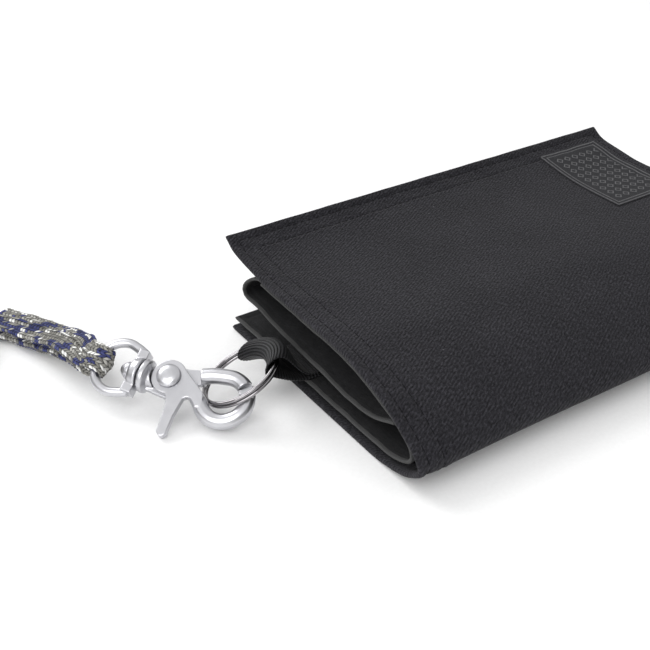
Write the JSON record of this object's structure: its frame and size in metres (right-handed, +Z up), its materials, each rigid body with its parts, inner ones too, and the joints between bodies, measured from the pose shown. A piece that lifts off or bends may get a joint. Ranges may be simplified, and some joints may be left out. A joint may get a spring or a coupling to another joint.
{
  "type": "neck pouch wallet",
  "caption": "Folded fabric travel wallet with a zipless inner pocket, card sleeves, a ribbon tab, a split ring and a trigger snap hook on a flat knitted neck cord.",
  "frame": {"origin": "middle of the face the closed wallet lies on", "axes": "+X along the spine away from the end with the ribbon tab and hook, +Y from the spine to the free edges, +Z up out of the front panel"},
  "size_m": [0.3311, 0.2021, 0.0342],
  "materials": {
    "shell_twill": "black twill weave, matt",
    "lining": "plain black lining, matt",
    "ribbon": "ribbed black ribbon, slight sheen",
    "label": "woven black label with a grey pattern",
    "knit": "knitted olive grey cord with navy patches and white flecks",
    "nickel": "satin nickel plated die casting",
    "gunmetal": "dark polished wire"
  },
  "bodies": {
    "wallet_back": {"back_shell": "shell_twill", "back_liner": "lining", "card_slot_1": "lining", "card_slot_2": "lining", "card_slot_3": "lining", "ribbon_tab": "ribbon"},
    "spine_lower": {"spine_lower_shell": "shell_twill", "spine_lower_liner": "lining"},
    "spine_upper": {"spine_upper_shell": "shell_twill", "spine_upper_liner": "lining"},
    "cover": {"front_shell": "shell_twill", "front_liner": "lining", "pocket_wall": "lining", "label_patch": "label"},
    "ring": {"split_ring": "gunmetal"},
    "hook": {"hook_body": "nickel", "trigger_rivet": "nickel", "trigger_spring": "nickel", "swivel_pin": "nickel"},
    "trigger": {"trigger_lever": "nickel"},
    "swivel": {"swivel_eye": "nickel", "neck_cord": "knit", "cord_fold": "knit", "neck_cord_coil": "knit", "cord_far_loop": "knit", "coil_tie": "ribbon"}
  },
  "joints": [
    {"name": "back_fold", "type": "hinge", "parent": "wallet_back", "child": "spine_lower", "pos_m": [0, -0.0374, 0.0011], "axis": [1, 0, 0], "range_deg": [0, 30]},
    {"name": "spine_fold", "type": "hinge", "parent": "spine_lower", "child": "spine_upper", "pos_m": [0, -0.0508, 0.0086], "axis": [1, 0, 0], "range_deg": [0, 108]},
    {"name": "front_fold", "type": "hinge", "parent": "spine_upper", "child": "cover", "pos_m": [0, -0.0398, 0.0189], "axis": [1, 0, 0], "range_deg": [0, 32]},
    {"name": "ring_swing", "type": "hinge", "parent": "wallet_back", "child": "ring", "pos_m": [-0.0838, 0.0128, 0.014], "axis": [0, 1, 0], "range_deg": [0, 85], "deforming": ["ribbon_tab"]},
    {"name": "hook_swing", "type": "hinge", "parent": "ring", "child": "hook", "pos_m": [-0.1039, 0.0087, 0.0066], "axis": [0.4128, -0.8557, 0.3121], "range_deg": [-20, 20]},
    {"name": "trigger_pull", "type": "hinge", "parent": "hook", "child": "trigger", "pos_m": [-0.11205, 0.02205, 0.00939], "axis": [0.349, 0.3732, -0.8596], "range_deg": [0, 25], "stiffness_Nm_per_rad": 0.02, "springref_deg": -28.65},
    {"name": "eye_swivel", "type": "hinge", "parent": "hook", "child": "swivel", "pos_m": [-0.11908, 0.02984, 0.00992], "axis": [-0.5693, 0.813, 0.1219], "continuous": true}
  ],
  "couplings": [
    {"joint": "back_fold", "follows": "spine_fold", "ratio": 0.27},
    {"joint": "front_fold", "follows": "spine_fold", "ratio": 0.287}
  ]
}
